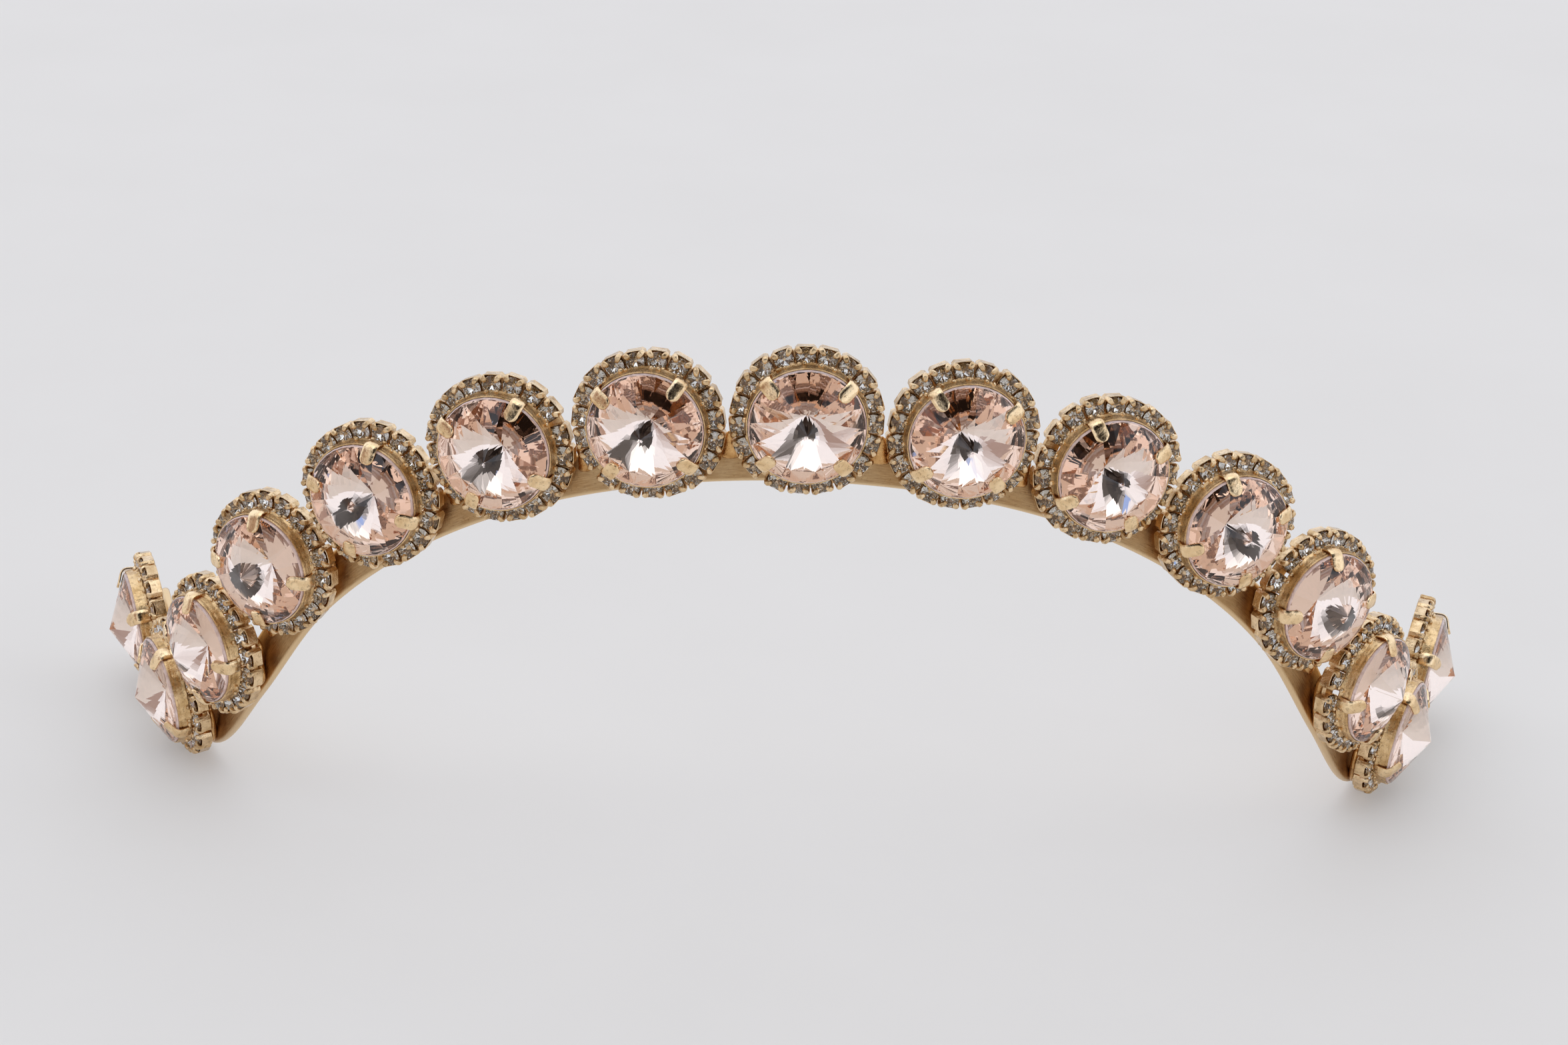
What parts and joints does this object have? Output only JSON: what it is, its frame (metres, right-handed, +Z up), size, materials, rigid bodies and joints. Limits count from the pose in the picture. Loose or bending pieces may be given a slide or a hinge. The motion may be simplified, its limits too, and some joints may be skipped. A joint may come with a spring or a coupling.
{
  "type": "bridal tiara",
  "caption": "Flat gold headband arched over the front and turned back behind the ears, carrying round blush crystals in pronged settings with rhinestone halos.",
  "frame": {"origin": "on the level surface that the sides come down to, midway between the sides and at the middle of the depth", "axes": "+Z up, the front of the tiara faces -Y, the tips run back towards +Y, X across from side to side"},
  "size_m": [0.1524, 0.0614, 0.0622],
  "materials": {
    "band_gold": "pale champagne-gold plating, brushed, with small pits and warmer solder marks",
    "setting_gold": "polished pale gold plating on pressed cups and flat rounded prongs",
    "halo_stone_cups": "clear foiled rhinestones in small square pale gold cups",
    "blush_crystal": "cut blush-pink crystal with a mirrored back"
  },
  "bodies": {
    "root": {"headband": "band_gold", "crystal_01": "blush_crystal", "setting_01": "setting_gold", "halo_01": "halo_stone_cups", "crystal_02": "blush_crystal", "setting_02": "setting_gold", "halo_02": "halo_stone_cups", "crystal_03": "blush_crystal", "setting_03": "setting_gold", "halo_03": "halo_stone_cups", "crystal_04": "blush_crystal", "setting_04": "setting_gold", "halo_04": "halo_stone_cups", "crystal_05": "blush_crystal", "setting_05": "setting_gold", "halo_05": "halo_stone_cups", "crystal_06": "blush_crystal", "setting_06": "setting_gold", "halo_06": "halo_stone_cups", "crystal_07": "blush_crystal", "setting_07": "setting_gold", "halo_07": "halo_stone_cups", "crystal_08": "blush_crystal", "setting_08": "setting_gold", "halo_08": "halo_stone_cups", "crystal_09": "blush_crystal", "setting_09": "setting_gold", "halo_09": "halo_stone_cups", "crystal_10": "blush_crystal", "setting_10": "setting_gold", "halo_10": "halo_stone_cups", "crystal_11": "blush_crystal", "setting_11": "setting_gold", "halo_11": "halo_stone_cups", "crystal_12": "blush_crystal", "setting_12": "setting_gold", "halo_12": "halo_stone_cups", "crystal_13": "blush_crystal", "setting_13": "setting_gold", "halo_13": "halo_stone_cups", "crystal_14": "blush_crystal", "setting_14": "setting_gold", "halo_14": "halo_stone_cups", "crystal_15": "blush_crystal", "setting_15": "setting_gold", "halo_15": "halo_stone_cups"}
  },
  "joints": []
}
